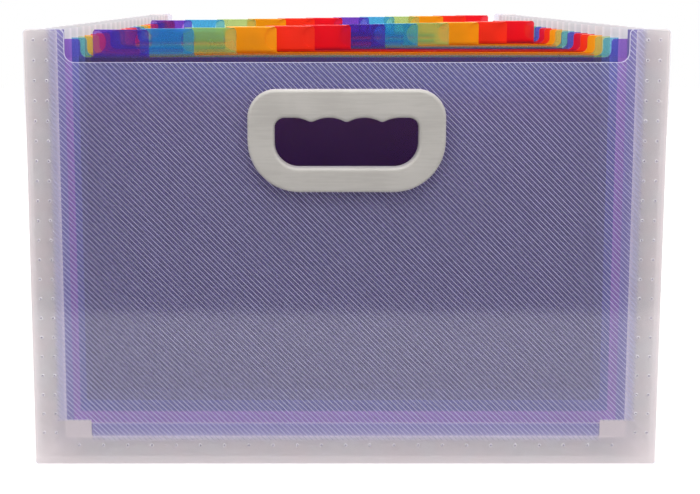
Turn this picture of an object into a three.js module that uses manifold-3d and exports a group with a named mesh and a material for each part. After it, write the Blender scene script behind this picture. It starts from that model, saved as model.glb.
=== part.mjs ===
// Expanding file folder: two frosted covers, a pleated film gusset, 24 tabbed dividers and a carrying grip.
// Millimetres, +Z up. X runs across the folder, Y from the front cover to the back cover.
// The origin is at the middle of the footprint, on the surface that the folder stands on.
import * as THREE from "three";
import { mergeVertices } from "three/addons/utils/BufferGeometryUtils.js";
import Module from "manifold-3d";

const wasm = await Module();
wasm.setup();

// Covers
const coverWidth = 370;
const coverHeight = 258;
const coverThickness = 1;
const coverCornerRadius = 3;
const coverShoulderWidth = 23.5;
const coverRecessDepth = 19;
const coverRecessRadius = 5.4;

// Gap left between two pieces that are welded, snapped or laid together
const seatGap = 0.3;

// Gusset: one strip of film, pleated along Y and folded in a U round the sides and the bottom
const filmThickness = 0.5;
const pocketPitch = 24;
const sidePleatDepth = 18.8;
const bottomPleatDepth = 17;
const gussetEdgeInset = 0.4;
const gussetTopDrop = 1;
const tuckWidth = 14.6;
const tuckHeight = 10;
const tuckOverlap = 3;

// Dividers: sheets with welded side edges, each with a label tab at its own place
const dividerThickness = 0.5;
const tabsInRow = 12;
const tabRows = 2;
const dividerShoulderDrop = 6.5;
const dividerRecessDrop = 17.3;
const dividerShoulderWidth = 8.5;
const dividerRecessRadius = 4;
const dividerShoulderRadius = 2;
const tabWidth = 33;
const firstTabMargin = 7.5;
const lastTabMargin = 4.2;
const tabTopDrop = 1.2;
const tabRadius = 2;

// Label sleeve: the sheet is folded down over the front of its tab, with a thumb notch at each end
const sleeveSlot = 0.8;
const sleeveThickness = 0.4;
const sleeveWeldHeight = 0.8;
const sleeveLift = 1;
const thumbNotchRadius = 7;

// Grip: a moulded ring in front of the cover, with a collar through it, and a ring behind
const gripWidth = 114;
const gripHeight = 59.4;
const gripDrop = 34.2;
const gripCentreX = 0;
const gripTopRadius = 16.5;
const gripBottomRadius = 30;
const gripStand = 4.7;
const gripEdgeRound = 1.5;
const openingWidth = 83;
const openingHeight = 28.7;
const openingTopRadius = 6;
const openingBottomRadius = 14;
const fingerPitch = 20.4;
const fingerDepth = 2.9;
const openingLowering = 1;
const collarWall = 3.5;
const backingThickness = 2.5;
const backingInset = 3;

// Straight steps that stand for an arc
const cornerSteps = 3;
const gripBottomSteps = 8;
const gripTopSteps = 5;
const fingerSteps = 6;
const notchSteps = 6;

// Colours and finish
const coverLook = { color: 0xb9b4cf, roughness: 0.45, metalness: 0, transparent: true, opacity: 0.55 };
const filmLook = { color: 0xdcdbe0, roughness: 0.5, metalness: 0, transparent: true, opacity: 0.55 };
const gripLook = { color: 0xb4b2ad, roughness: 0.5, metalness: 0 };
const dividerColours = [0x5a2aa0, 0x2f74c0, 0x6fa85c, 0xef9a1c, 0xee4526, 0xd8102a];

// Places worked out from the sizes above
const pocketCount = tabsInRow * tabRows + 1;
const frontFilmPlane = coverThickness + seatGap + filmThickness / 2;
const backFilmPlane = frontFilmPlane + pocketCount * pocketPitch;
const backCoverFront = backFilmPlane + filmThickness / 2 + seatGap;
const backCoverBack = backCoverFront + coverThickness;
const gripFront = -(seatGap + gripStand);
const footprintMiddle = (gripFront + backCoverBack) / 2;
const gussetTop = coverHeight - gussetTopDrop;
const gussetEdge = coverWidth / 2 - gussetEdgeInset;
const innerFold = gussetEdge - sidePleatDepth;
const foldTipReach = filmThickness / 2 / Math.sin(Math.atan(pocketPitch / 2 / sidePleatDepth));
const dividerHalfWidth = innerFold - foldTipReach - seatGap;
const dividerBottom = bottomPleatDepth + (foldTipReach * bottomPleatDepth) / sidePleatDepth + seatGap;
const dividerRecessHalfWidth = dividerHalfWidth - dividerShoulderWidth;
const gripBottom = coverHeight - gripDrop - gripHeight;
const openingBottom = gripBottom + (gripHeight - openingHeight) / 2 - openingLowering;

// Returns the points of an outline whose corners [x, z, radius, steps] are rounded by arcs.
function roundedOutline(corners) {
  const points = [];
  corners.forEach(([x, z, radius = 0, steps = cornerSteps], index) => {
    const corner = new THREE.Vector2(x, z);
    if (radius === 0) {
      points.push(corner);
      return;
    }
    const before = corners[(index + corners.length - 1) % corners.length];
    const after = corners[(index + 1) % corners.length];
    const inward = new THREE.Vector2(before[0] - x, before[1] - z).normalize();
    const outward = new THREE.Vector2(after[0] - x, after[1] - z).normalize();
    const halfAngle = Math.acos(inward.dot(outward)) / 2;
    const bisector = inward.clone().add(outward).normalize();
    const centre = corner.clone().addScaledVector(bisector, radius / Math.sin(halfAngle));
    const start = corner.clone().addScaledVector(inward, radius / Math.tan(halfAngle)).sub(centre);
    const end = corner.clone().addScaledVector(outward, radius / Math.tan(halfAngle)).sub(centre);
    const turn = Math.atan2(start.x * end.y - start.y * end.x, start.dot(end));
    for (let step = 0; step <= steps; step += 1) {
      const spoke = start.clone().rotateAround(new THREE.Vector2(), (turn * step) / steps);
      points.push(centre.clone().add(spoke));
    }
  });
  return points;
}

// Extrudes an outline drawn in X and Z along Y, from yStart to yEnd, with optional holes.
function plate(points, yStart, yEnd, holes = [], edgeRound = 0) {
  const shape = new THREE.Shape(points);
  shape.holes = holes.map((hole) => new THREE.Path(hole));
  const geometry = new THREE.ExtrudeGeometry(shape, {
    depth: yEnd - yStart - 2 * edgeRound,
    bevelEnabled: edgeRound > 0,
    bevelThickness: edgeRound,
    bevelSize: edgeRound,
    bevelOffset: -edgeRound,
    bevelSegments: 2,
  });
  geometry.rotateX(Math.PI / 2);
  geometry.translate(0, yEnd - edgeRound, 0);
  return geometry;
}

function toSolid(geometry) {
  const bare = geometry.clone();
  bare.deleteAttribute("normal");
  bare.deleteAttribute("uv");
  const merged = mergeVertices(bare, 1e-4);
  const mesh = new wasm.Mesh({
    numProp: 3,
    vertProperties: Float32Array.from(merged.attributes.position.array),
    triVerts: Uint32Array.from(merged.index.array),
  });
  return new wasm.Manifold(mesh);
}

function toGeometry(solid) {
  const mesh = solid.getMesh();
  const geometry = new THREE.BufferGeometry();
  geometry.setAttribute("position", new THREE.BufferAttribute(mesh.vertProperties, 3));
  geometry.setIndex(new THREE.BufferAttribute(mesh.triVerts, 1));
  geometry.computeVertexNormals();
  return geometry;
}

function joined(geometries) {
  const [first, ...rest] = geometries.map(toSolid);
  return toGeometry(rest.reduce((sum, solid) => sum.add(solid), first));
}

function named(name, geometry, look) {
  const mesh = new THREE.Mesh(geometry, new THREE.MeshStandardMaterial(look));
  mesh.name = name;
  return mesh;
}

// Corners of a ring outline that is centred on X, with one radius at the top and one at the bottom.
function ringCorners(width, bottom, height, topRadius, bottomRadius) {
  const left = gripCentreX - width / 2;
  const right = gripCentreX + width / 2;
  const top = bottom + height;
  return [
    [left, bottom, bottomRadius, gripBottomSteps],
    [right, bottom, bottomRadius, gripBottomSteps],
    [right, top, topRadius, gripTopSteps],
    [left, top, topRadius, gripTopSteps],
  ];
}

// The ring outline around the opening, this far outside it.
function aroundOpening(wall) {
  return roundedOutline(
    ringCorners(
      openingWidth + 2 * wall,
      openingBottom - wall,
      openingHeight + 2 * wall,
      openingTopRadius + wall,
      openingBottomRadius + wall,
    ),
  );
}

function coverOutline() {
  const half = coverWidth / 2;
  const shoulder = half - coverShoulderWidth;
  const recess = coverHeight - coverRecessDepth;
  return roundedOutline([
    [-half, 0, coverCornerRadius],
    [half, 0, coverCornerRadius],
    [half, coverHeight, coverCornerRadius],
    [shoulder, coverHeight, coverCornerRadius],
    [shoulder, recess, coverRecessRadius],
    [-shoulder, recess, coverRecessRadius],
    [-shoulder, coverHeight, coverCornerRadius],
    [-half, coverHeight, coverCornerRadius],
  ]);
}

// The opening for the hand: straight sides, and a row of shallow finger hollows along the top.
function openingOutline() {
  const outline = aroundOpening(0);
  const fingerRadius = (fingerPitch ** 2 / 4 + fingerDepth ** 2) / (2 * fingerDepth);
  const middleSteps = 1.5 * fingerSteps;
  const top = [];
  for (let step = middleSteps; step >= -middleSteps; step -= 1) {
    const along = (step / fingerSteps) * fingerPitch;
    const fromCusp = along - fingerPitch * (Math.floor(along / fingerPitch) + 0.5);
    const dip = fingerRadius - Math.sqrt(fingerRadius ** 2 - fromCusp ** 2);
    top.push(new THREE.Vector2(gripCentreX + along, openingBottom + openingHeight - dip));
  }
  const isTopLeft = (point) => point.x < gripCentreX && point.y > openingBottom + openingHeight / 2;
  const firstTopLeft = outline.findIndex(isTopLeft);
  return [...outline.slice(0, firstTopLeft), ...top, ...outline.slice(firstTopLeft)];
}

function frontCover() {
  const hole = aroundOpening(collarWall + seatGap);
  return named("front_cover", plate(coverOutline(), 0, coverThickness, [hole]), coverLook);
}

function backCover() {
  return named("back_cover", plate(coverOutline(), backCoverFront, backCoverBack), coverLook);
}

function gripFrame() {
  const outline = roundedOutline(
    ringCorners(gripWidth, gripBottom, gripHeight, gripTopRadius, gripBottomRadius),
  );
  const opening = openingOutline();
  const collarEnd = coverThickness + seatGap + backingThickness;
  const ring = plate(outline, gripFront, -seatGap, [opening], gripEdgeRound);
  const collar = plate(aroundOpening(collarWall), -seatGap - gripStand / 2, collarEnd, [opening]);
  return named("grip_frame", joined([ring, collar]), gripLook);
}

function gripBacking() {
  const outline = roundedOutline(
    ringCorners(
      gripWidth - 2 * backingInset,
      gripBottom + backingInset,
      gripHeight - 2 * backingInset,
      gripTopRadius - backingInset,
      gripBottomRadius - backingInset,
    ),
  );
  const start = coverThickness + seatGap;
  const hole = aroundOpening(collarWall + seatGap);
  return named("grip_backing", plate(outline, start, start + backingThickness, [hole]), gripLook);
}

// Fold lines of the gusset as [reach, y], where reach is the distance from the folder's middle plane.
function foldLines() {
  const outerFold = gussetEdge - foldTipReach;
  const lines = [
    [gussetEdge, frontFilmPlane],
    [innerFold, frontFilmPlane],
  ];
  for (let pocket = 0; pocket < pocketCount; pocket += 1) {
    lines.push([outerFold, frontFilmPlane + (pocket + 0.5) * pocketPitch]);
    lines.push([innerFold, frontFilmPlane + (pocket + 1) * pocketPitch]);
  }
  lines.push([gussetEdge, backFilmPlane]);
  return lines.map(([reach, y]) => new THREE.Vector2(reach, y));
}

// Both faces of the film round the fold lines, as one closed section with mitred folds.
function filmSection() {
  const lines = foldLines();
  const half = filmThickness / 2;
  const faces = [[], []];
  lines.forEach((line, index) => {
    const into = line.clone().sub(lines[Math.max(index - 1, 0)]).normalize();
    const out = lines[Math.min(index + 1, lines.length - 1)].clone().sub(line).normalize();
    const direction = into.lengthSq() === 0 ? out : into;
    const following = out.lengthSq() === 0 ? into : out;
    const normal = new THREE.Vector2(-direction.y, direction.x);
    const nextNormal = new THREE.Vector2(-following.y, following.x);
    const mitre = normal.clone().add(nextNormal).normalize();
    const reach = half / mitre.dot(normal);
    faces[0].push(line.clone().addScaledVector(mitre, reach));
    faces[1].push(line.clone().addScaledVector(mitre, -reach));
  });
  return [...faces[0], ...faces[1].reverse()];
}

// Carries the film's section down one side, along the bottom and up the other side.
function foldedStrip() {
  const section = filmSection();
  if (THREE.ShapeUtils.isClockWise(section)) section.reverse();
  const floorSlope = bottomPleatDepth / sidePleatDepth;
  const floorAt = (reach) => Math.max(gussetEdge - reach, 0) * floorSlope;
  const stations = [
    ({ x, y }) => [-x, y, gussetTop],
    ({ x, y }) => [-x, y, floorAt(x)],
    ({ x, y }) => [x, y, floorAt(x)],
    ({ x, y }) => [x, y, gussetTop],
  ];
  const positions = stations.flatMap((place) => section.flatMap(place));
  const count = section.length;
  const indices = [];
  for (let station = 0; station < stations.length - 1; station += 1) {
    for (let side = 0; side < count; side += 1) {
      const a = station * count + side;
      const b = station * count + ((side + 1) % count);
      indices.push(a, b, b + count, a, b + count, a + count);
    }
  }
  const lastStation = (stations.length - 1) * count;
  THREE.ShapeUtils.triangulateShape(section, []).forEach(([a, b, c]) => {
    indices.push(a, c, b, a + lastStation, b + lastStation, c + lastStation);
  });
  const geometry = new THREE.BufferGeometry();
  geometry.setAttribute("position", new THREE.Float32BufferAttribute(positions, 3));
  geometry.setIndex(indices);
  return geometry;
}

// The surplus film of a bottom corner, folded flat against the cover beside the flange.
function cornerTuck(side, plane) {
  const outer = side * (innerFold + tuckOverlap);
  const inner = side * (innerFold - tuckWidth);
  const bottom = bottomPleatDepth - tuckOverlap;
  const top = bottomPleatDepth + tuckHeight;
  const left = Math.min(outer, inner);
  const right = Math.max(outer, inner);
  const corners = [
    [left, bottom],
    [right, bottom],
    [right, top],
    [left, top],
  ];
  return plate(roundedOutline(corners), plane - filmThickness / 2, plane + filmThickness / 2);
}

function gusset() {
  const planes = [frontFilmPlane, backFilmPlane];
  const tucks = planes.flatMap((plane) => [cornerTuck(-1, plane), cornerTuck(1, plane)]);
  return named("gusset", joined([foldedStrip(), ...tucks]), filmLook);
}

// Left end of the tab on divider number index.
function tabLeft(index) {
  const firstTab = firstTabMargin - dividerRecessHalfWidth;
  const lastTab = dividerRecessHalfWidth - lastTabMargin - tabWidth;
  return firstTab + ((lastTab - firstTab) * (index % tabsInRow)) / (tabsInRow - 1);
}

function dividerOutline(left) {
  const shoulder = coverHeight - dividerShoulderDrop;
  const recess = coverHeight - dividerRecessDrop;
  const tabTop = coverHeight - tabTopDrop;
  const right = left + tabWidth;
  return roundedOutline([
    [-dividerHalfWidth, dividerBottom],
    [dividerHalfWidth, dividerBottom],
    [dividerHalfWidth, shoulder],
    [dividerRecessHalfWidth, shoulder, dividerShoulderRadius],
    [dividerRecessHalfWidth, recess, dividerRecessRadius],
    [right, recess],
    [right, tabTop, tabRadius],
    [left, tabTop, tabRadius],
    [left, recess],
    [-dividerRecessHalfWidth, recess, dividerRecessRadius],
    [-dividerRecessHalfWidth, shoulder, dividerShoulderRadius],
    [-dividerHalfWidth, shoulder],
  ]);
}

// A half circle cut into one end of the sleeve. side is 1 at the right end and -1 at the left end.
function thumbNotch(x, middle, radius, side) {
  return Array.from({ length: notchSteps + 1 }, (_, step) => {
    const angle = Math.PI * (step / notchSteps - 0.5);
    return new THREE.Vector2(x - side * radius * Math.cos(angle), middle + side * radius * Math.sin(angle));
  });
}

// The front layer of the sleeve, waisted by the thumb notches at its two ends.
function sleeveOutline(left, bottom, top) {
  const middle = (bottom + top) / 2;
  const radius = Math.min(thumbNotchRadius, (top - bottom - sleeveWeldHeight) / 2);
  const start = left + tabRadius / 2;
  const end = left + tabWidth - tabRadius / 2;
  return [
    new THREE.Vector2(start, bottom),
    new THREE.Vector2(end, bottom),
    ...thumbNotch(end, middle, radius, 1),
    new THREE.Vector2(end, top),
    new THREE.Vector2(start, top),
    ...thumbNotch(start, middle, radius, -1),
  ];
}

// A narrow bar that closes the sleeve between its front layer and the sheet.
function sleeveWeld(left, bottom, yStart, yEnd) {
  const start = left + tabRadius;
  const end = left + tabWidth - tabRadius;
  const corners = [
    [start, bottom],
    [end, bottom],
    [end, bottom + sleeveWeldHeight],
    [start, bottom + sleeveWeldHeight],
  ];
  return plate(roundedOutline(corners), yStart, yEnd);
}

function divider(index) {
  const left = tabLeft(index);
  const plane = frontFilmPlane + (index + 1) * pocketPitch;
  const front = plane - dividerThickness / 2;
  const sleeveBack = front - sleeveSlot;
  const sleeveFront = sleeveBack - sleeveThickness;
  const sleeveBottom = coverHeight - dividerRecessDrop + sleeveLift;
  const sleeveTop = coverHeight - tabTopDrop;
  const sheet = plate(dividerOutline(left), front, front + dividerThickness);
  const sleeve = plate(sleeveOutline(left, sleeveBottom, sleeveTop), sleeveFront, sleeveBack);
  const foot = sleeveWeld(left, sleeveBottom, sleeveFront, plane);
  const fold = sleeveWeld(left, sleeveTop - sleeveWeldHeight, sleeveFront, plane);
  const look = { color: dividerColours[index % dividerColours.length], roughness: 0.4, metalness: 0 };
  const name = `divider_${String(index + 1).padStart(2, "0")}`;
  return named(name, joined([sheet, sleeve, foot, fold]), look);
}

const folder = new THREE.Group();
folder.position.y = -footprintMiddle;
folder.add(frontCover(), backCover(), gripFrame(), gripBacking(), gusset());
for (let index = 0; index < tabsInRow * tabRows; index += 1) {
  folder.add(divider(index));
}

export default folder;
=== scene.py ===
# Looks of an expanding file folder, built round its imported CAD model. Metres, +Z up, front towards -Y.
import math
import random

import bmesh
import bpy
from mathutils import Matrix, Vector
from mathutils.geometry import tessellate_polygon

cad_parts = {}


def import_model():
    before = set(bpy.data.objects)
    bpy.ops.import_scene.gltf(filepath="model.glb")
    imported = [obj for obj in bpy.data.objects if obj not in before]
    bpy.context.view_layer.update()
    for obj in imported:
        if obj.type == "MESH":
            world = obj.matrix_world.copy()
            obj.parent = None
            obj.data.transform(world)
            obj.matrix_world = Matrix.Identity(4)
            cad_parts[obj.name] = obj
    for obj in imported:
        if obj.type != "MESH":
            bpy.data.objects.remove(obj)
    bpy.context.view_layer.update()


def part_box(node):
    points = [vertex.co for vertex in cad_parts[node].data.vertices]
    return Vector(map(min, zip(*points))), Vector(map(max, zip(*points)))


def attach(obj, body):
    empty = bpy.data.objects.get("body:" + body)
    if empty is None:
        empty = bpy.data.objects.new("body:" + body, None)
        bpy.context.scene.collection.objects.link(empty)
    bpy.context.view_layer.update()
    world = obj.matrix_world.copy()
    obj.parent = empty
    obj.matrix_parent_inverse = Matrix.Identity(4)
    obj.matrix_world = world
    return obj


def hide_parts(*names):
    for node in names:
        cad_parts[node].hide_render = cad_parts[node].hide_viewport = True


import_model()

MM = 0.001

# Camera and light
PHOTO_WIDTH_PX = 700
PHOTO_FOCAL_PX = 1377
PHOTO_SHIFT_PX = (35, -56)
SENSOR_WIDTH_MM = 36
CAMERA_PLACE = (-18.2 * MM, -1088.6 * MM, 277.6 * MM)
CAMERA_PITCH = math.radians(8.14)
CLIP_START = 10 * MM
FLOOR_FRONT = 395 * MM
FLOOR_SIZE = 3.0
FLOOR_LIFT = 0.72
FLAG_DISTANCE = 1.3
FLAG_SIZE = (3.0, 1.4)
WORLD_STRENGTH = 0.62

# Name, place, target, size and watts of each softbox
SOFTBOXES = (
    ("top", (0, -0.6, 1.4), (0, -0.25, 0.2), (1.4, 1.2), 22),
    ("left", (-1.1, -1.1, 0.8), (0, -0.2, 0.15), (0.9, 0.9), 3.6),
    ("right", (1.1, -1.1, 0.8), (0, -0.2, 0.15), (0.9, 0.9), 4.6),
    ("back", (0, 1.5, 1.1), (0, 0.2, 0.2), (1.4, 0.9), 15),
)

# Covers
COVER_SHEET = 0.8 * MM
COVER_SEAT = 0.1 * MM
SHOULDER_WIDTH = 23.5 * MM
RECESS_DEPTH = 19 * MM
RECESS_RADIUS = 5.4 * MM
COVER_RADIUS = 3 * MM
RIB_PITCH = 3.08 * MM
SEAM_START = 168 * MM
SEAM_BOTTOM = 18 * MM
SEAM_FADE = 5 * MM
TUCK_FADE = 2 * MM
EDGE_WIDTH = 0.3 * MM
EDGE_RISE = 0.03 * MM

# Welds between the gusset and the covers
SIDE_DOT_ROWS = (6 * MM, 13 * MM)
BOTTOM_DOT_ROW = 11.9 * MM
SIDE_DOT_PITCH = 11.6 * MM
BOTTOM_DOT_PITCH = 14.4 * MM
DOT_RADIUS = 1.0 * MM
DOT_HEIGHT = 0.2 * MM
DOT_STEPS = 12

# Shares of a weld's radius and height, from its rim to its middle
DOT_PROFILE = ((1.0, 0.0), (0.82, 0.9), (0.62, 1.0), (0.45, 0.3), (0.2, 0.1))
DOT_RIM_RINGS = 2

# Gusset
FILM = 0.3 * MM
SIDE_PLEAT = 18.8 * MM
BOTTOM_PLEAT = 17 * MM
TUCK = (14.6 * MM, 10 * MM)
TUCK_OVERLAP = 0.5 * MM
TUCK_RISE = 0.35 * MM
POCKETS = 25
SIDE_STEPS = 12
BOTTOM_STEPS = 16
OUTER_FOLD_INSET_MM = (0.5, 1.6)
OUTER_FOLD_SWAY_MM = 1.2
FOLD_PULL = 0.1 * MM
LEAF_BOW = 0.5 * MM
FLAT_CREASE = 0.2
CORNER_CREASE = 0.7
GUSSET_SEED = 7

# Places along a leaf from fold to fold, and how creased the film is there
LEAF_CREASES = ((0.035, 0.8), (0.1, 0.15), (0.3, 0), (0.5, 0), (0.7, 0), (0.9, 0.15), (0.965, 0.8))

# The darker violet of the first pleat, partly the first divider's violet seen through the film and partly
# painted shade, by how far it reaches from the inner folds and where it fades out
VIOLET_AND_SHADE_REACH = 9 * MM
VIOLET_AND_SHADE_FADE = 4 * MM
VIOLET_AND_SHADE_GAP = 0.1 * MM

# Dividers
DIVIDER_SHEET = 0.4 * MM
SOLID_SHEET = 0.5 * MM
SHOULDER_DROP = 6.5 * MM
RECESS_DROP = 17.3 * MM
RECESS_HALF = 156.5 * MM
TAB_WIDTH = 33 * MM
FIRST_TAB_MARGIN = 7.5 * MM
LAST_TAB_MARGIN = 4.2 * MM
TAB_DROP = 1.2 * MM
TAB_RADIUS = 2 * MM
TAB_FOOT_RADIUS = 0.8 * MM
SHOULDER_RADIUS = 1.5 * MM
RECESS_TOP_RADIUS = 2 * MM
RECESS_FOOT_RADIUS = 4 * MM
TABS_IN_ROW = 12
SLEEVE_GAP = 1.0 * MM
SLEEVE_LIFT = 1 * MM
NOTCH_RADIUS = 7 * MM
NOTCH_STEPS = 12
WELD_MARGIN = 6.5 * MM
MARGIN_BEND = 1 * MM
MARGIN_GAP = 0.45 * MM
FOLD_INSET = 0.5 * MM
BOW_MM = 1.0
RIPPLE_MM = 0.5
LEAN_MM = 0.6
DIVIDER_SEED = 100
WIDTH_CUTS = 22
HEIGHT_CUTS = 8
SLEEVE_CUTS = 4
CLEAR_INSIDE = 0.36
CLEAR_FADE = 0.5 * MM
# Painted shade on the dividers: the depth below the recess where it is full (it fades out at half that
# depth), and how much of the reddish shade colour is mixed in
PAINTED_SHADE_DEPTH = 30 * MM
PAINTED_SHADE_SHARE = 0.55

# Grip
GRIP_EDGE = 2.2 * MM
OPENING_WIDTH = 83 * MM
OPENING_HEIGHT = 28.7 * MM
OPENING_LOWERING = 1 * MM
OPENING_TOP_RADIUS = 6 * MM
OPENING_BOTTOM_RADIUS = 14 * MM
GRIP_TOP_RADIUS = 16.5 * MM
GRIP_BOTTOM_RADIUS = 30 * MM
FINGER_PITCH = 20.4 * MM
FINGER_DEPTH = 2.9 * MM
RIDGE_SHARE = 0.46
FINGER_STEPS = 48
COLLAR_WALL = 3.5 * MM
HOLE_GAP = 0.3 * MM
GRIP_SEAT = 0.1 * MM
BACKING_INSET = 3 * MM
BACKING_EDGE = 0.8 * MM
BACKING_STEPS = 4

# Colours as 0 to 255 screen values. CLEAR is what a sheet lets through.
FROST = (176, 174, 244)
RIB = (240, 240, 255)
SEAM = (238, 238, 240)
COVER_CLEAR = (255, 250, 248)
CUT_EDGE = (236, 234, 248)
# Weld marks: a painted highlight on the rims and a painted shade in the pits
WELD_RIM_HIGHLIGHT = (240, 236, 242)
WELD_PIT_SHADE = (128, 118, 146)
FILM_TONES = ((225, 221, 224), (221, 223, 226))
FILM_CREASE = (239, 234, 237)
FILM_VIOLET_AND_SHADE = (116, 108, 168)
# Darker violet of the first pleat near the inner folds, and what it lets through: partly the first
# divider's violet, partly painted shade
FILM_CLEAR = (218, 208, 214)
FILM_VIOLET_AND_SHADE_CLEAR = (176, 164, 222)
# A reddish painted shade for the dividers lower down, where little light reaches inside the pockets
DIVIDER_PAINTED_SHADE = (160, 84, 96)
GRIP_TONES = ((162, 158, 153), (171, 167, 162))
FLOOR_GREY = (192, 192, 194)
FLAG_GREY = (60, 60, 62)

# How much the sheets hide, and how much of that shines through
VEIL = 0.23
SEAM_VEIL = 0.1
RIB_VEIL = 0.34
COVER_GLOW = 0.3
COVER_IOR = 1.58
EDGE_VEIL = 0.7
EDGE_GLOW = 0.4
FILM_VEIL = 0.83
CREASE_VEIL = 0.1
FILM_GLOW = 0.48
# How much the painted highlight of the weld rims and the painted shade of the pits hide
WELD_RIM_HIGHLIGHT_VEIL = 0.55
WELD_PIT_SHADE_VEIL = 0.5
DIVIDER_GLOW = 0.15

# Name, colour of the sheet, colour that it lets through, and how much it hides
DIVIDER_COLOURS = (
    ("violet", (108, 84, 202), (190, 140, 228), 0.28),
    ("blue", (66, 158, 220), (163, 232, 249), 0.38),
    ("green", (172, 208, 126), (237, 241, 196), 0.38),
    ("orange", (255, 164, 0), (255, 226, 40), 0.84),
    ("coral", (255, 52, 24), (255, 141, 74), 0.80),
    ("red", (246, 10, 36), (249, 104, 120), 0.70),
)


def linear(colour):
    """A colour given as 0 to 255 screen values, as scene-linear RGBA."""
    def channel(value):
        share = value / 255
        return share / 12.92 if share <= 0.04045 else ((share + 0.055) / 1.055) ** 2.4
    return (*[channel(value) for value in colour], 1.0)


# Materials

class Shader:
    """A node tree that is being wired up."""

    def __init__(self, name):
        self.material = bpy.data.materials.new(name)
        self.material.use_nodes = True
        self.tree = self.material.node_tree
        self.tree.nodes.clear()
        self.output = self.tree.nodes.new("ShaderNodeOutputMaterial")

    def add(self, kind, inputs=(), **settings):
        node = self.tree.nodes.new(kind)
        for key, value in settings.items():
            setattr(node, key, value)
        for key, value in dict(inputs).items():
            self.feed(node.inputs[key], value)
        return node

    def feed(self, socket, value):
        if isinstance(value, bpy.types.NodeSocket):
            self.tree.links.new(value, socket)
        else:
            socket.default_value = value

    def math(self, operation, *values):
        node = self.add("ShaderNodeMath", enumerate(values), operation=operation)
        return node.outputs[0]

    def place(self):
        return self.add("ShaderNodeTexCoord").outputs["Object"]

    def axes(self):
        return self.add("ShaderNodeSeparateXYZ", {"Vector": self.place()}).outputs

    def grain(self, scale, detail=2.0, stretch=(1, 1, 1)):
        mapping = self.add("ShaderNodeMapping", {"Vector": self.place(), "Scale": stretch})
        inputs = {"Vector": mapping.outputs[0], "Scale": scale, "Detail": detail}
        return self.add("ShaderNodeTexNoise", inputs).outputs["Fac"]

    def ramp(self, value, low, high, out_low=0.0, out_high=1.0):
        inputs = {"Value": value, "From Min": low, "From Max": high, "To Min": out_low, "To Max": out_high}
        node = self.add("ShaderNodeMapRange", inputs, interpolation_type="SMOOTHSTEP")
        return node.outputs["Result"]

    def colour_mix(self, share, first, second):
        node = self.add("ShaderNodeMix", data_type="RGBA")
        self.feed(node.inputs["Factor"], share)
        self.feed(node.inputs["A"], first)
        self.feed(node.inputs["B"], second)
        return node.outputs["Result"]

    def bump(self, height, strength, distance):
        inputs = {"Height": height, "Strength": strength, "Distance": distance}
        return self.add("ShaderNodeBump", inputs).outputs["Normal"]

    def mix(self, share, first, second):
        node = self.add("ShaderNodeMixShader")
        self.feed(node.inputs[0], share)
        self.feed(node.inputs[1], first)
        self.feed(node.inputs[2], second)
        return node.outputs[0]

    def outside(self):
        """1 on the face by which a ray enters a sheet and 0 on the one by which it leaves."""
        return self.math("SUBTRACT", 1.0, self.add("ShaderNodeNewGeometry").outputs["Backfacing"])

    def sheet(self, colour, clear_colour, cover, glow, normal=None, **surface):
        """A thin translucent sheet: cover is how much it hides, glow how much of that shines through."""
        body = self.add("ShaderNodeBsdfPrincipled", surface)
        self.feed(body.inputs["Base Color"], colour)
        through = self.add("ShaderNodeBsdfTranslucent", {"Color": colour})
        if normal is not None:
            self.feed(body.inputs["Normal"], normal)
            self.feed(through.inputs["Normal"], normal)
        outside = self.outside()
        tint = self.colour_mix(outside, (1, 1, 1, 1), clear_colour)
        clear = self.add("ShaderNodeBsdfTransparent", {"Color": tint})
        solid = self.mix(glow, body.outputs[0], through.outputs[0])
        return self.mix(self.math("MULTIPLY", outside, cover), clear.outputs[0], solid)

    def glossed(self, surface, ior, roughness):
        """A clear gloss over a surface, as strong as its index of refraction makes it."""
        fresnel = self.add("ShaderNodeFresnel", {"IOR": ior}).outputs[0]
        share = self.math("MULTIPLY", fresnel, self.outside())
        gloss = self.add("ShaderNodeBsdfGlossy", {"Roughness": roughness})
        return self.mix(share, surface, gloss.outputs[0])

    def finish(self, surface):
        self.tree.links.new(surface, self.output.inputs["Surface"])


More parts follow.
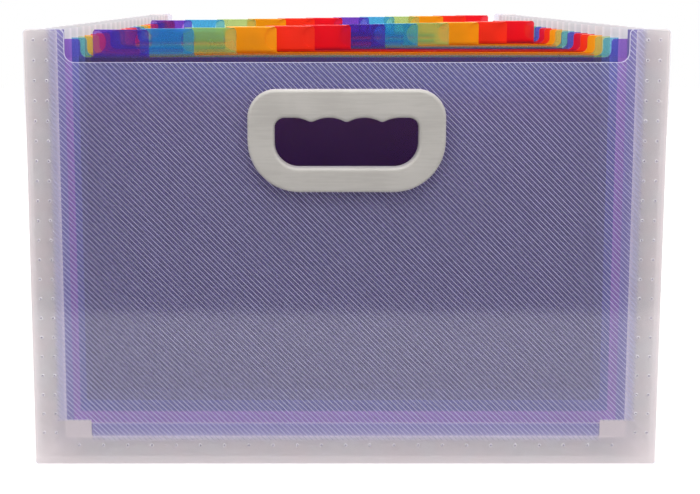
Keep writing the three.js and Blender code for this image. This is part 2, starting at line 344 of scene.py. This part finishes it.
def ribbed_cover_material():
    """A clear sheet with diagonal ribs, which are pressed flat where the gusset's film is welded on."""
    shader = Shader("ribbed_cover")
    x, _, z = shader.axes()
    turns = shader.math("DIVIDE", shader.math("ADD", x, z), RIB_PITCH)
    wobble = shader.math("MULTIPLY", shader.grain(220, 1.0), 0.06)
    phase = shader.math("FRACT", shader.math("ADD", turns, wobble))
    from_middle = shader.math("ABSOLUTE", shader.math("SUBTRACT", phase, 0.5))
    rib = shader.ramp(from_middle, 0.04, 0.13, 1.0, 0.0)
    dashes = shader.ramp(shader.grain(900, 1.0), 0.45, 0.62)
    between = shader.math("MULTIPLY", shader.ramp(from_middle, 0.2, 0.3), dashes)
    relief = shader.math("MAXIMUM", rib, shader.math("MULTIPLY", between, 0.2))
    sideways = shader.ramp(shader.math("ABSOLUTE", x), SEAM_START, SEAM_START + SEAM_FADE)
    downwards = shader.ramp(z, SEAM_BOTTOM, SEAM_BOTTOM - SEAM_FADE)
    tuck_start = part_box("gusset")[1].x - SIDE_PLEAT - TUCK[0]
    tuck_top = BOTTOM_PLEAT + TUCK[1]
    beside = shader.ramp(shader.math("ABSOLUTE", x), tuck_start - TUCK_FADE, tuck_start)
    below = shader.ramp(z, tuck_top + TUCK_FADE / 2, tuck_top - TUCK_FADE / 2)
    tuck = shader.math("MULTIPLY", beside, below)
    seam = shader.math("MAXIMUM", tuck, shader.math("MAXIMUM", sideways, downwards))
    ribs = shader.math("MULTIPLY", relief, shader.math("SUBTRACT", 1.0, seam))
    frosted = shader.colour_mix(relief, linear(FROST), linear(RIB))
    colour = shader.colour_mix(seam, frosted, linear(SEAM))
    veil = shader.ramp(seam, 0.0, 1.0, VEIL, SEAM_VEIL)
    cover = shader.math("ADD", shader.math("MULTIPLY", ribs, RIB_VEIL), veil)
    normal = shader.bump(ribs, 0.3, 0.04 * MM)
    surface = shader.sheet(colour, linear(COVER_CLEAR), cover, COVER_GLOW, normal, Roughness=0.4)
    shader.finish(shader.glossed(surface, COVER_IOR, 0.08))
    return shader.material


def cut_edge_material():
    shader = Shader("cut_edge")
    shader.finish(shader.sheet(linear(CUT_EDGE), (1, 1, 1, 1), EDGE_VEIL, EDGE_GLOW, Roughness=0.3))
    return shader.material


def weld_material(name, colour, cover):
    shader = Shader(name)
    look = {"Base Color": linear(colour), "Alpha": cover, "Roughness": 0.25}
    shader.finish(shader.add("ShaderNodeBsdfPrincipled", look).outputs[0])
    return shader.material


def film_material():
    """The gusset's film. It is whiter where its mesh says crease, and a darker violet where its mesh marks
    the first pleat near the inner folds: partly the first divider's violet seen through it, partly painted
    shade.
    """
    shader = Shader("gusset_film")
    crease = shader.add("ShaderNodeAttribute", attribute_name="crease").outputs["Fac"]
    violet_and_shade = shader.add("ShaderNodeAttribute", attribute_name="violet_and_shade").outputs["Fac"]
    mottled = shader.ramp(shader.grain(60, 3.0), 0.3, 0.7)
    pale = shader.colour_mix(mottled, *[linear(tone) for tone in FILM_TONES])
    plain = shader.colour_mix(crease, pale, linear(FILM_CREASE))
    # On the first pleat: partly the first divider's violet, partly painted shade
    colour = shader.colour_mix(violet_and_shade, plain, linear(FILM_VIOLET_AND_SHADE))
    clear = shader.colour_mix(violet_and_shade, linear(FILM_CLEAR), linear(FILM_VIOLET_AND_SHADE_CLEAR))
    cover = shader.math("ADD", FILM_VEIL, shader.math("MULTIPLY", crease, CREASE_VEIL))
    normal = shader.bump(shader.grain(45, 3.0), 0.5, 1.5 * MM)
    shader.finish(shader.sheet(colour, clear, cover, FILM_GLOW, normal, Roughness=0.4))
    return shader.material


def divider_material(name, colour, clear_colour, cover):
    """A divider's plastic. Below the cover's recess it hides less, and lower down it takes a reddish
    painted shade, which stands for the dim light that reaches the pockets through the red and orange
    sheets.
    """
    shader = Shader(f"sheet_{name}")
    tone = shader.ramp(shader.grain(40, 2.0), 0.3, 0.7)
    deep = linear([value * 0.95 for value in colour])
    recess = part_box("front_cover")[1].z - RECESS_DROP
    height = shader.axes()["Z"]
    # Painted shade: lower down, the sheet turns towards the reddish shade colour
    painted_shade = shader.ramp(height, recess - PAINTED_SHADE_DEPTH, recess - PAINTED_SHADE_DEPTH / 2, PAINTED_SHADE_SHARE, 0.0)
    plain = shader.colour_mix(tone, deep, linear(colour))
    body = shader.colour_mix(painted_shade, plain, linear(DIVIDER_PAINTED_SHADE))
    share = shader.ramp(height, recess - CLEAR_FADE, recess, CLEAR_INSIDE * cover, cover)
    normal = shader.bump(shader.grain(700, 2.0), 0.15, 0.08 * MM)
    shader.finish(shader.sheet(body, linear(clear_colour), share, DIVIDER_GLOW, normal, Roughness=0.3))
    return shader.material


def grip_material():
    shader = Shader("grip_plastic")
    lines = shader.grain(300, 3.0, (0.2, 1, 3))
    mottled = shader.grain(60, 3.0)
    share = shader.math("ADD", shader.math("MULTIPLY", lines, 0.5), shader.math("MULTIPLY", mottled, 0.5))
    tone = shader.ramp(share, 0.35, 0.65)
    colour = shader.colour_mix(tone, *[linear(grey) for grey in GRIP_TONES])
    body = shader.add("ShaderNodeBsdfPrincipled", {"Base Color": colour, "Roughness": 0.45})
    shader.feed(body.inputs["Normal"], shader.bump(lines, 0.12, 0.1 * MM))
    shader.finish(body.outputs[0])
    return shader.material


# Outlines and sheets

def rounded_outline(corners, steps=6):
    """Points of an outline whose corners (x, z, radius) are rounded by arcs."""
    points = []
    for index, (x, z, radius) in enumerate(corners):
        corner = Vector((x, z))
        if radius == 0:
            points.append(corner)
            continue
        before = Vector(corners[index - 1][:2])
        after = Vector(corners[(index + 1) % len(corners)][:2])
        inward = (before - corner).normalized()
        outward = (after - corner).normalized()
        half_angle = inward.angle(outward) / 2
        centre = corner + (inward + outward).normalized() * radius / math.sin(half_angle)
        start = corner + inward * radius / math.tan(half_angle) - centre
        end = corner + outward * radius / math.tan(half_angle) - centre
        turn = math.atan2(start.cross(end), start.dot(end))
        for step in range(steps + 1):
            angle = turn * step / steps
            cosine = math.cos(angle)
            sine = math.sin(angle)
            spoke = Vector((start.x * cosine - start.y * sine, start.x * sine + start.y * cosine))
            points.append(centre + spoke)
    return points


def spread(low, high, count):
    return [low + (high - low) * step / count for step in range(1, count)]


def flat_sheet(outline, holes=(), x_cuts=(), z_cuts=()):
    """A flat mesh of an outline in X and Z, cut along lines so that it can bend."""
    loops = [outline, *holes]
    points = [point for loop in loops for point in loop]
    mesh = bmesh.new()
    corners = [mesh.verts.new((point.x, 0, point.y)) for point in points]
    for triangle in tessellate_polygon([[point.to_3d() for point in loop] for loop in loops]):
        mesh.faces.new([corners[index] for index in triangle])
    bmesh.ops.recalc_face_normals(mesh, faces=mesh.faces)
    for axis, cuts in (((1, 0, 0), x_cuts), ((0, 0, 1), z_cuts)):
        for cut in cuts:
            everything = mesh.verts[:] + mesh.edges[:] + mesh.faces[:]
            place = Vector(axis) * cut
            bmesh.ops.bisect_plane(mesh, geom=everything, dist=1e-6, plane_co=place, plane_no=axis)
    if mesh.faces and sum(face.normal.y for face in mesh.faces) > 0:
        bmesh.ops.reverse_faces(mesh, faces=mesh.faces)
    return mesh


def bend(mesh, place):
    for vertex in mesh.verts:
        vertex.co = place(vertex.co.x, vertex.co.z)


def piece(name, mesh, materials, replaced=(), thickness=0.0, smooth=math.radians(30)):
    """Turns a mesh into a piece of the folder, as a sheet of this thickness where one is given."""
    data = bpy.data.meshes.new(name)
    mesh.to_mesh(data)
    mesh.free()
    piece_object = bpy.data.objects.new(name, data)
    bpy.context.scene.collection.objects.link(piece_object)
    for material in materials:
        data.materials.append(material)
    if thickness:
        solid = piece_object.modifiers.new("thickness", "SOLIDIFY")
        solid.thickness = thickness
        solid.offset = 0
        solid.material_offset_rim = len(materials) - 1
        apply_modifiers(piece_object)
    piece_object.data.shade_smooth()
    piece_object.data.set_sharp_from_angle(angle=smooth)
    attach(piece_object, "root")
    if replaced:
        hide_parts(*replaced)
    return piece_object


def apply_modifiers(piece_object):
    graph = bpy.context.evaluated_depsgraph_get()
    final = bpy.data.meshes.new_from_object(piece_object.evaluated_get(graph))
    piece_object.modifiers.clear()
    piece_object.data = final


# Covers

def cover_outline(width, height, inset=0.0):
    half = width / 2 - inset
    shoulder = width / 2 - SHOULDER_WIDTH + inset
    recess = height - RECESS_DEPTH - inset
    top = height - inset
    corner = COVER_RADIUS - inset
    hollow = RECESS_RADIUS + inset
    return rounded_outline([
        (-half, inset, corner),
        (half, inset, corner),
        (half, top, corner),
        (shoulder, top, corner),
        (shoulder, recess, hollow),
        (-shoulder, recess, hollow),
        (-shoulder, top, corner),
        (-half, top, corner),
    ])


def cover(node, facing, hole, materials):
    low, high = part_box(node)
    middle = (low.y + high.y) / 2 - facing * COVER_SEAT
    holes = [hole] if hole else []
    mesh = flat_sheet(cover_outline(high.x - low.x, high.z), holes)
    bend(mesh, lambda x, z: (x, middle, z))
    return piece(f"{node}_sheet", mesh, materials, [node], COVER_SHEET)


def cover_edge(node, facing, material):
    """The cut edge of a cover, which gathers light along its whole outline."""
    low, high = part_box(node)
    middle = (low.y + high.y) / 2 - facing * COVER_SEAT
    half = COVER_SHEET / 2 + EDGE_RISE
    mesh = bmesh.new()
    sides = ((EDGE_WIDTH, -half), (0, -half), (0, half), (EDGE_WIDTH, half))
    loft(mesh, [(cover_outline(high.x - low.x, high.z, inset), middle + y) for inset, y in sides])
    bmesh.ops.recalc_face_normals(mesh, faces=mesh.faces)
    return piece(f"{node}_edge", mesh, [material])


def weld_mark(mesh, x, y, z, facing):
    """A shallow round crater that a weld leaves in a cover. Its rim takes the first material, a painted
    highlight, and its middle takes the second, a painted shade.
    """
    loops = []
    for share, rise in DOT_PROFILE:
        loop = []
        for step in range(DOT_STEPS):
            angle = math.tau * step / DOT_STEPS
            away = DOT_RADIUS * share
            place = (x + away * math.cos(angle), y + facing * DOT_HEIGHT * rise, z + away * math.sin(angle))
            loop.append(mesh.verts.new(place))
        loops.append(loop)
    for turn, (outer, inner) in enumerate(zip(loops, loops[1:])):
        for step in range(DOT_STEPS):
            following = (step + 1) % DOT_STEPS
            wall = mesh.faces.new([outer[step], outer[following], inner[following], inner[step]])
            wall.material_index = 1 if turn >= DOT_RIM_RINGS else 0
    mesh.faces.new(loops[-1]).material_index = 1


def weld_marks(node, facing, materials):
    low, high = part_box(node)
    y = (low.y + high.y) / 2 + facing * (COVER_SHEET / 2 - COVER_SEAT)
    mesh = bmesh.new()
    rows = int((high.z - 1.5 * SIDE_DOT_PITCH) / SIDE_DOT_PITCH)
    for side in (-1, 1):
        for inset in SIDE_DOT_ROWS:
            for row in range(rows + 1):
                weld_mark(mesh, side * (high.x - inset), y, high.z - SIDE_DOT_PITCH * (row + 0.55), facing)
    count = int((high.x - low.x - 4 * SIDE_DOT_ROWS[1]) / BOTTOM_DOT_PITCH)
    for step in range(count + 1):
        weld_mark(mesh, BOTTOM_DOT_PITCH * (step - count / 2), y, BOTTOM_DOT_ROW, facing)
    bmesh.ops.recalc_face_normals(mesh, faces=mesh.faces)
    return piece(f"{node}_weld_marks", mesh, materials, smooth=math.pi)


# Gusset

def fold_lines():
    """Fold lines of the film as (reach, y), where reach is the distance from the middle plane."""
    low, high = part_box("gusset")
    front = low.y + (high.y - low.y - POCKETS * pocket_pitch()) / 2
    edge = high.x
    inner = edge - SIDE_PLEAT
    rng = random.Random(GUSSET_SEED)
    lines = [(edge, front), (inner, front)]
    for pocket in range(POCKETS):
        outer = edge - rng.uniform(*OUTER_FOLD_INSET_MM) * MM
        sway = rng.uniform(-OUTER_FOLD_SWAY_MM, OUTER_FOLD_SWAY_MM) * MM
        lines.append((outer, front + (pocket + 0.5) * pocket_pitch() + sway))
        lines.append((inner, front + (pocket + 1) * pocket_pitch()))
    lines.append((edge, front + POCKETS * pocket_pitch()))
    return [Vector(line) for line in lines]


def divider_plane(index):
    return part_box(f"divider_{index + 1:02d}")[1].y - SOLID_SHEET / 2


def pocket_pitch():
    return divider_plane(1) - divider_plane(0)


def film_section():
    """Points along the pleated section as (reach, y, crease share), with rounded folds and bowed leaves."""
    lines = fold_lines()
    section = [(*lines[0], FLAT_CREASE)]
    for index, (start, end) in enumerate(zip(lines, lines[1:])):
        along = end - start
        across = Vector((-along.y, along.x)).normalized()
        flat = index in (0, len(lines) - 2)
        bow = 0 if flat else LEAF_BOW * (1 if index % 2 else -1)
        for share, crease in LEAF_CREASES:
            point = start + along * share + across * bow * math.sin(math.pi * share)
            section.append((*point, crease))
        pull = along.normalized() * (0 if flat else -FOLD_PULL)
        section.append((*(end + pull), 1.0))
    return section


def gusset(material):
    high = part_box("gusset")[1]
    section = film_section()
    slope = BOTTOM_PLEAT / SIDE_PLEAT
    top = high.z

    def station(reach, y, step):
        """The place after this many steps down the left side, along the bottom and up the right side."""
        floor = (high.x - reach) * slope + FILM / 2
        if step <= SIDE_STEPS:
            return (-reach, y, top + (floor - top) * step / SIDE_STEPS)
        if step <= SIDE_STEPS + BOTTOM_STEPS:
            return (reach * (2 * (step - SIDE_STEPS) / BOTTOM_STEPS - 1), y, floor)
        return (reach, y, floor + (top - floor) * (step - SIDE_STEPS - BOTTOM_STEPS) / SIDE_STEPS)

    mesh = bmesh.new()
    crease_layer = mesh.verts.layers.float.new("crease")
    violet_and_shade_layer = mesh.verts.layers.float.new("violet_and_shade")
    front = section[0][1] + VIOLET_AND_SHADE_GAP
    violet_and_shade_end = front + pocket_pitch() + VIOLET_AND_SHADE_GAP
    columns = []
    for reach, y, crease in section:
        column = []
        for step in range(2 * SIDE_STEPS + BOTTOM_STEPS + 1):
            vertex = mesh.verts.new(station(reach, y, step))
            corner = step in (SIDE_STEPS, SIDE_STEPS + BOTTOM_STEPS)
            vertex[crease_layer] = max(crease, CORNER_CREASE if corner else 0.0)
            # Near the inner folds of the first pleat the film takes a darker violet: partly the first
            # divider's violet, partly painted shade
            nearness = (high.x - SIDE_PLEAT + VIOLET_AND_SHADE_REACH - reach) / VIOLET_AND_SHADE_FADE
            vertex[violet_and_shade_layer] = min(1.0, max(0.0, nearness)) if front < y < violet_and_shade_end else 0.0
            column.append(vertex)
        columns.append(column)
    for left, right in zip(columns, columns[1:]):
        for step in range(len(left) - 1):
            mesh.faces.new([left[step], left[step + 1], right[step + 1], right[step]])
    for plane in (section[0][1], section[-1][1]):
        for side in (-1, 1):
            corner_tuck(mesh, side, plane)
    bmesh.ops.recalc_face_normals(mesh, faces=mesh.faces)
    return piece("gusset_film", mesh, [material], ["gusset"], FILM)


def corner_tuck(mesh, side, plane):
    """The surplus film of a bottom corner, folded flat beside the flange."""
    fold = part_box("gusset")[1].x - SIDE_PLEAT
    outer = side * (fold + TUCK_OVERLAP)
    inner = side * (fold - TUCK[0])
    bottom = BOTTOM_PLEAT - TUCK_OVERLAP
    top = BOTTOM_PLEAT + TUCK[1]
    towards = TUCK_RISE * (1 if plane < 0 else -1)
    places = ((outer, bottom), (inner, bottom), (inner, top), (outer, top))
    corners = [mesh.verts.new((x, plane + towards, z)) for x, z in places]
    for corner in corners:
        corner[mesh.verts.layers.float["crease"]] = 1.0
    mesh.faces.new(corners)


# Dividers

def tab_left(index):
    first = FIRST_TAB_MARGIN - RECESS_HALF
    last = RECESS_HALF - LAST_TAB_MARGIN - TAB_WIDTH
    return first + (last - first) * (index % TABS_IN_ROW) / (TABS_IN_ROW - 1)


def divider_outline(left, half, bottom, top):
    recess = top - RECESS_DROP
    shoulder = top - SHOULDER_DROP
    tab_top = top - TAB_DROP
    right = left + TAB_WIDTH
    return rounded_outline([
        (-half, bottom, 0),
        (half, bottom, 0),
        (half, shoulder, SHOULDER_RADIUS),
        (RECESS_HALF, shoulder, RECESS_TOP_RADIUS),
        (RECESS_HALF, recess, RECESS_FOOT_RADIUS),
        (right, recess, TAB_FOOT_RADIUS),
        (right, tab_top, TAB_RADIUS),
        (left, tab_top, TAB_RADIUS),
        (left, recess, TAB_FOOT_RADIUS),
        (-RECESS_HALF, recess, RECESS_FOOT_RADIUS),
        (-RECESS_HALF, shoulder, RECESS_TOP_RADIUS),
        (-half, shoulder, SHOULDER_RADIUS),
    ])


def sleeve_outline(left, bottom, top):
    """The sleeve's front layer, with a half-round thumb notch in each end."""
    middle = (bottom + top) / 2
    start = left + TAB_RADIUS / 2
    end = left + TAB_WIDTH - TAB_RADIUS / 2

    def notch(x, side):
        radius = side * NOTCH_RADIUS
        turns = [math.pi * (step / NOTCH_STEPS - 0.5) for step in range(NOTCH_STEPS + 1)]
        return [Vector((x - radius * math.cos(turn), middle + radius * math.sin(turn))) for turn in turns]

    corners = [Vector((start, bottom)), Vector((end, bottom))]
    return [*corners, *notch(end, 1), Vector((end, top)), Vector((start, top)), *notch(start, -1)]


def divider(index, material):
    node = f"divider_{index + 1:02d}"
    low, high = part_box(node)
    cover_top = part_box("front_cover")[1].z
    plane = divider_plane(index)
    rng = random.Random(DIVIDER_SEED + index)
    flat_half = high.x - FOLD_INSET
    half = high.x + WELD_MARGIN
    bow = rng.uniform(-BOW_MM, BOW_MM) * MM
    ripple = rng.uniform(-RIPPLE_MM, RIPPLE_MM) * MM
    lean = rng.uniform(-LEAN_MM, LEAN_MM) * MM
    leaf_slope = pocket_pitch() / 2 / SIDE_PLEAT

    def sway(x, z):
        """How far the sheet bows out of its plane. It is held at its side edges and its bottom."""
        share = max(0.0, 1 - (x / flat_half) ** 2)
        rise = (z - low.z) / (high.z - low.z)
        wave = ripple * math.sin(3 * math.pi * x / flat_half) * share
        return (bow * share + wave) * math.sin(math.pi * min(rise, 1) * 0.75) + lean * share * rise

    def place(x, z):
        """The margins past the flat part turn back along the gusset's leaves."""
        past = max(0.0, abs(x) - flat_half)
        along = past / math.hypot(1, leaf_slope)
        side = math.copysign(min(abs(x), flat_half) + along, x)
        return (side, plane + along * leaf_slope + (MARGIN_GAP if past else 0) + sway(x, z), z)

    left = tab_left(index)
    outline = divider_outline(left, half, low.z, cover_top)
    bend_half = flat_half + MARGIN_BEND
    x_cuts = [-bend_half, *spread(-flat_half, flat_half, WIDTH_CUTS), bend_half, -flat_half, flat_half]
    z_cuts = spread(low.z, cover_top - RECESS_DROP, HEIGHT_CUTS)
    mesh = flat_sheet(outline, x_cuts=x_cuts, z_cuts=z_cuts)
    bend(mesh, place)
    tab_top = cover_top - TAB_DROP
    fold_radius = SLEEVE_GAP / 2
    fold_length = math.pi * fold_radius
    sleeve_bottom = cover_top - RECESS_DROP + SLEEVE_LIFT
    flat_top = tab_top - fold_radius
    sleeve = flat_sheet(
        sleeve_outline(left, sleeve_bottom, flat_top + fold_length),
        x_cuts=spread(left, left + TAB_WIDTH, SLEEVE_CUTS),
        z_cuts=[flat_top + fold_length * share for share in (0, 0.25, 0.5, 0.75)],
    )

    def fold_over(x, z):
        past = max(0.0, z - flat_top)
        angle = past / fold_radius
        height = min(z, flat_top) + fold_radius * math.sin(angle)
        forward = fold_radius * (1 + math.cos(angle))
        return (x, plane - forward + sway(x, height), height)

    bend(sleeve, fold_over)
    both = bpy.data.meshes.new("sleeve")
    sleeve.to_mesh(both)
    sleeve.free()
    mesh.from_mesh(both)
    bpy.data.meshes.remove(both)
    return piece(f"{node}_sheet", mesh, [material], [node], DIVIDER_SHEET)


# Grip

def ring_loop(width, bottom, height, top_radius, bottom_radius, grow):
    """A rounded ring outline, grown outwards by this much."""
    half = width / 2 + grow
    low = bottom - grow
    high = bottom + height + grow
    return rounded_outline([
        (-half, low, bottom_radius + grow),
        (half, low, bottom_radius + grow),
        (half, high, top_radius + grow),
        (-half, high, top_radius + grow),
    ], 16)


def plain_opening_loop(bottom, grow):
    """The hand opening without its finger hollows, grown outwards."""
    radii = (OPENING_TOP_RADIUS, OPENING_BOTTOM_RADIUS)
    return ring_loop(OPENING_WIDTH, bottom, OPENING_HEIGHT, *radii, grow)


def opening_loop(bottom, grow):
    """The hand opening, grown outwards, with its finger hollows along the top."""
    loop = plain_opening_loop(bottom, grow)
    radius = (FINGER_PITCH ** 2 / 4 + FINGER_DEPTH ** 2) / (2 * FINGER_DEPTH) + grow
    top = []
    for step in range(FINGER_STEPS + 1):
        along = 1.5 * FINGER_PITCH * (1 - 2 * step / FINGER_STEPS)
        from_middle = along - FINGER_PITCH * (math.floor(along / FINGER_PITCH) + 0.5)
        soft = min(abs(from_middle), FINGER_PITCH * RIDGE_SHARE)
        dip = radius - math.sqrt(radius ** 2 - soft ** 2)
        top.append(Vector((along, bottom + OPENING_HEIGHT + grow - dip)))
    middle = bottom + OPENING_HEIGHT / 2
    first_left = next(i for i, point in enumerate(loop) if point.x < 0 and point.y > middle)
    return loop[:first_left] + top + loop[first_left:]


def loft(mesh, loops):
    """Joins loops of the same number of points with quads. Each loop is (points, y)."""
    rings = [[mesh.verts.new((point.x, y, point.y)) for point in points] for points, y in loops]
    for first, second in zip(rings, rings[1:]):
        for step in range(len(first)):
            following = (step + 1) % len(first)
            mesh.faces.new([first[step], first[following], second[following], second[step]])
    return rings


def close_ring(mesh, outer, inner):
    """Fills the flat face between two loops of vertices in one plane."""
    vertices = [*outer, *inner]
    polygons = [[Vector((vertex.co.x, vertex.co.z, 0)) for vertex in loop] for loop in (outer, inner)]
    for triangle in tessellate_polygon(polygons):
        mesh.faces.new([vertices[index] for index in triangle])


def rounded_rim(radius, front, inwards, steps=6):
    """Pairs (grow, y) round a quarter turn from the side of a ring to its front face."""
    pairs = []
    for step in range(steps + 1):
        angle = math.pi / 2 * step / steps
        pairs.append((inwards * radius * (1 - math.cos(angle)), front + radius * (1 - math.sin(angle))))
    return pairs


def grip_places():
    """The corners of the grip frame's box and the height of the opening's lower edge."""
    low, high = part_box("grip_frame")
    opening_bottom = low.z + (high.z - low.z - OPENING_HEIGHT) / 2 - OPENING_LOWERING
    return low, high, opening_bottom


def outer_grip_loop(low, high, grow):
    return ring_loop(high.x - low.x, low.z, high.z - low.z, GRIP_TOP_RADIUS, GRIP_BOTTOM_RADIUS, grow)


def grip_frame(material):
    low, high, bottom = grip_places()
    cover_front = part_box("front_cover")[0].y
    back = cover_front - GRIP_SEAT
    mesh = bmesh.new()
    outer = [(outer_grip_loop(low, high, 0), back)]
    outer += [(outer_grip_loop(low, high, grow), y) for grow, y in rounded_rim(GRIP_EDGE, low.y, -1)]
    inner = [(opening_loop(bottom, 0), high.y)]
    inner += [(opening_loop(bottom, grow), y) for grow, y in rounded_rim(GRIP_EDGE, low.y, 1)]
    outer_rings = loft(mesh, outer)
    inner_rings = loft(mesh, inner)
    close_ring(mesh, outer_rings[-1], inner_rings[-1])
    collar = [(collar_loop(bottom), back), (collar_loop(bottom), high.y)]
    collar_rings = loft(mesh, collar)
    close_ring(mesh, collar_rings[1], inner_rings[0])
    close_ring(mesh, outer_rings[0], collar_rings[0])
    bmesh.ops.recalc_face_normals(mesh, faces=mesh.faces)
    return piece("grip_frame_moulding", mesh, [material], ["grip_frame"])


def collar_loop(bottom, extra=0.0):
    return plain_opening_loop(bottom, COLLAR_WALL + extra)


def grip_backing(material):
    low, high, bottom = grip_places()
    back_low, back_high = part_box("grip_backing")
    mesh = bmesh.new()
    rim = [(-BACKING_INSET, back_low.y)]
    for step in range(BACKING_STEPS + 1):
        angle = math.pi / 2 * step / BACKING_STEPS
        inset = BACKING_INSET + BACKING_EDGE * (1 - math.cos(angle))
        rim.append((-inset, back_high.y - BACKING_EDGE * (1 - math.sin(angle))))
    outer_rings = loft(mesh, [(outer_grip_loop(low, high, grow), y) for grow, y in rim])
    hole = collar_loop(bottom, HOLE_GAP)
    inner_rings = loft(mesh, [(hole, back_low.y), (hole, back_high.y)])
    close_ring(mesh, outer_rings[-1], inner_rings[-1])
    close_ring(mesh, outer_rings[0], inner_rings[0])
    bmesh.ops.recalc_face_normals(mesh, faces=mesh.faces)
    return piece("grip_backing_ring", mesh, [material], ["grip_backing"])


# Stage

def camera():
    data = bpy.data.cameras.new("camera")
    data.sensor_width = SENSOR_WIDTH_MM
    data.lens = PHOTO_FOCAL_PX * SENSOR_WIDTH_MM / PHOTO_WIDTH_PX
    data.shift_x = PHOTO_SHIFT_PX[0] / PHOTO_WIDTH_PX
    data.shift_y = PHOTO_SHIFT_PX[1] / PHOTO_WIDTH_PX
    data.clip_start = CLIP_START
    view = bpy.data.objects.new("camera", data)
    view.location = CAMERA_PLACE
    view.rotation_euler = (math.pi / 2 - CAMERA_PITCH, 0, 0)
    bpy.context.scene.collection.objects.link(view)
    bpy.context.scene.camera = view


def stage_plane(name, corners, surface_of):
    """A flat part of the studio. surface_of wires up its material."""
    mesh = bmesh.new()
    mesh.faces.new([mesh.verts.new(corner) for corner in corners])
    data = bpy.data.meshes.new(name)
    mesh.to_mesh(data)
    mesh.free()
    shader = Shader(name)
    shader.finish(surface_of(shader))
    data.materials.append(shader.material)
    plane = bpy.data.objects.new(name, data)
    bpy.context.scene.collection.objects.link(plane)
    return plane


def seen_directly(shader):
    """1 where the camera sees a surface, also through a mirror or glass, and 0 for all other light."""
    paths = shader.add("ShaderNodeLightPath").outputs
    reflected = shader.math("MAXIMUM", paths["Is Glossy Ray"], paths["Is Transmission Ray"])
    return shader.math("MAXIMUM", paths["Is Camera Ray"], reflected)


def floor_surface(shader):
    diffuse = shader.add("ShaderNodeBsdfDiffuse", {"Color": linear(FLOOR_GREY)})
    lift = shader.add("ShaderNodeEmission", {"Color": (1, 1, 1, 1)})
    shader.feed(lift.inputs["Strength"], shader.math("MULTIPLY", seen_directly(shader), FLOOR_LIFT))
    return shader.add("ShaderNodeAddShader", {0: diffuse.outputs[0], 1: lift.outputs[0]}).outputs[0]


def floor():
    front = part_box("front_cover")[0].y - FLOOR_FRONT
    size = FLOOR_SIZE
    corners = ((-size, front, 0), (size, front, 0), (size, size, 0), (-size, size, 0))
    stage_plane("floor", corners, floor_surface)


def flag_surface(shader):
    return shader.add("ShaderNodeBsdfDiffuse", {"Color": linear(FLAG_GREY)}).outputs[0]


def flag():
    """A dark screen behind the camera. It shows only in the gloss of what faces it."""
    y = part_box("front_cover")[0].y - FLAG_DISTANCE
    half = FLAG_SIZE[0] / 2
    height = FLAG_SIZE[1]
    corners = ((-half, y, -height / 2), (half, y, -height / 2), (half, y, height), (-half, y, height))
    screen = stage_plane("flag", corners, flag_surface)
    screen.visible_camera = False
    screen.visible_diffuse = False
    screen.visible_transmission = False
    screen.visible_shadow = False


def softbox(name, place, target, size, power):
    data = bpy.data.lights.new(name, "AREA")
    data.shape = "RECTANGLE"
    data.size, data.size_y = size
    data.energy = power
    lamp = bpy.data.objects.new(name, data)
    lamp.location = place
    lamp.rotation_euler = (Vector(target) - Vector(place)).to_track_quat("-Z", "Y").to_euler()
    bpy.context.scene.collection.objects.link(lamp)


def world(strength):
    """White where it is seen, and this strong where it lights the object."""
    surroundings = bpy.data.worlds.new("world")
    bpy.context.scene.world = surroundings
    surroundings.use_nodes = True
    tree = surroundings.node_tree
    paths = tree.nodes.new("ShaderNodeLightPath")
    seen = tree.nodes.new("ShaderNodeMath")
    seen.operation = "MAXIMUM"
    tree.links.new(paths.outputs["Is Camera Ray"], seen.inputs[0])
    tree.links.new(paths.outputs["Is Glossy Ray"], seen.inputs[1])
    level = tree.nodes.new("ShaderNodeMapRange")
    tree.links.new(seen.outputs[0], level.inputs["Value"])
    level.inputs["To Min"].default_value = strength
    background = tree.nodes["Background"]
    tree.links.new(level.outputs["Result"], background.inputs["Strength"])
    background.inputs["Color"].default_value = (1, 1, 1, 1)


def main():
    scene = bpy.context.scene
    scene.view_settings.view_transform = "Standard"
    camera()
    world(WORLD_STRENGTH)
    for lamp in SOFTBOXES:
        softbox(*lamp)
    floor()
    flag()
    sheet = ribbed_cover_material()
    edge = cut_edge_material()
    # Weld marks get a painted highlight on their rims and a painted shade in their pits
    weld_rim_painted_highlight = weld_material("weld_rim_painted_highlight", WELD_RIM_HIGHLIGHT, WELD_RIM_HIGHLIGHT_VEIL)
    weld_pit_painted_shade = weld_material("weld_pit_painted_shade", WELD_PIT_SHADE, WELD_PIT_SHADE_VEIL)
    film = film_material()
    moulding = grip_material()
    _, _, opening_bottom = grip_places()
    cover("front_cover", -1, collar_loop(opening_bottom, HOLE_GAP), [sheet, edge])
    cover("back_cover", 1, None, [sheet, edge])
    for node, facing in (("front_cover", -1), ("back_cover", 1)):
        cover_edge(node, facing, edge)
    for node, facing in (("front_cover", -1), ("back_cover", 1)):
        weld_marks(node, facing, [weld_rim_painted_highlight, weld_pit_painted_shade])
    gusset(film)
    grip_frame(moulding)
    grip_backing(moulding)
    plastics = [divider_material(*look) for look in DIVIDER_COLOURS]
    for index in range(POCKETS - 1):
        divider(index, plastics[index % len(plastics)])


main()
